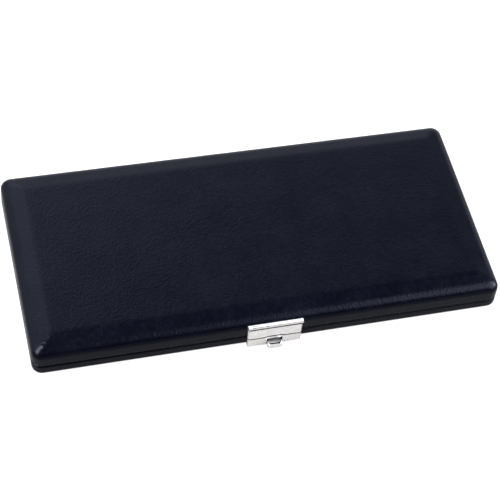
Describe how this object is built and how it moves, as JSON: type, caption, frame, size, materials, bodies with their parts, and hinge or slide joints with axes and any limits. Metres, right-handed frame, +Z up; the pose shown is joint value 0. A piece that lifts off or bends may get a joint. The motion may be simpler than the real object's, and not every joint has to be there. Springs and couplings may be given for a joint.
{
  "type": "poker chip case",
  "caption": "Slim leather-covered case for poker chips, with a bevelled padded lid hinged at the back, a front clasp with a release lever, and a divided chip tray inside.",
  "frame": {"origin": "centre of the bottom face, where the case rests", "axes": "+X along the case's length, -Y towards the clasp, +Z up through the lid"},
  "size_m": [0.32, 0.1623, 0.025],
  "materials": {
    "outer_leather": "fine grain, semi-gloss near-black navy",
    "bottom_leather": "fine grain, matt near-black",
    "board": "bare poplar board",
    "padding": "felt wadding",
    "velvet": "short-pile dark green velvet",
    "tray": "board dividers flocked in dark green",
    "clasp_metal": "brushed bright nickel plate",
    "latch_steel": "plain steel",
    "hinge_metal": "nickel plate",
    "screw_metal": "nickel-plated steel"
  },
  "bodies": {
    "base": {"base_back_rail": "board", "base_bottom_cover": "bottom_leather", "base_clasp_plate": "clasp_metal", "base_clasp_rivets": "latch_steel", "base_front_rail": "board", "base_hinge_screws": "screw_metal", "base_leather_band": "outer_leather", "base_left_rail": "board", "base_panel": "board", "base_right_rail": "board", "clasp_lever_pin": "latch_steel", "clasp_spring": "latch_steel", "left_hinge_base_leaf": "hinge_metal", "left_hinge_pin": "hinge_metal", "right_hinge_base_leaf": "hinge_metal", "right_hinge_pin": "hinge_metal", "tray_back_wall": "tray", "tray_cross_dividers": "tray", "tray_end_walls": "tray", "tray_floor": "tray", "tray_front_wall": "tray", "tray_long_dividers": "tray"},
    "lid": {"left_hinge_lid_leaf": "hinge_metal", "lid_back_rail": "board", "lid_clasp_keeper": "latch_steel", "lid_clasp_plate": "clasp_metal", "lid_clasp_rivets": "latch_steel", "lid_cushion": "velvet", "lid_front_rail": "board", "lid_hinge_screws": "screw_metal", "lid_leather": "outer_leather", "lid_left_rail": "board", "lid_lining": "velvet", "lid_padding": "padding", "lid_panel": "board", "lid_right_rail": "board", "right_hinge_lid_leaf": "hinge_metal"},
    "clasp_lever": {"clasp_lever": "clasp_metal"}
  },
  "joints": [
    {"name": "lid_hinge", "type": "hinge", "parent": "base", "child": "lid", "pos_m": [0, 0.0777, 0.00885], "axis": [-1, 0, 0], "range_deg": [0, 100]},
    {"name": "lever_pivot", "type": "hinge", "parent": "base", "child": "clasp_lever", "pos_m": [0, -0.0763, 0.0044], "axis": [-1, 0, 0], "range_deg": [0, 24], "deforming": ["clasp_spring"]}
  ]
}
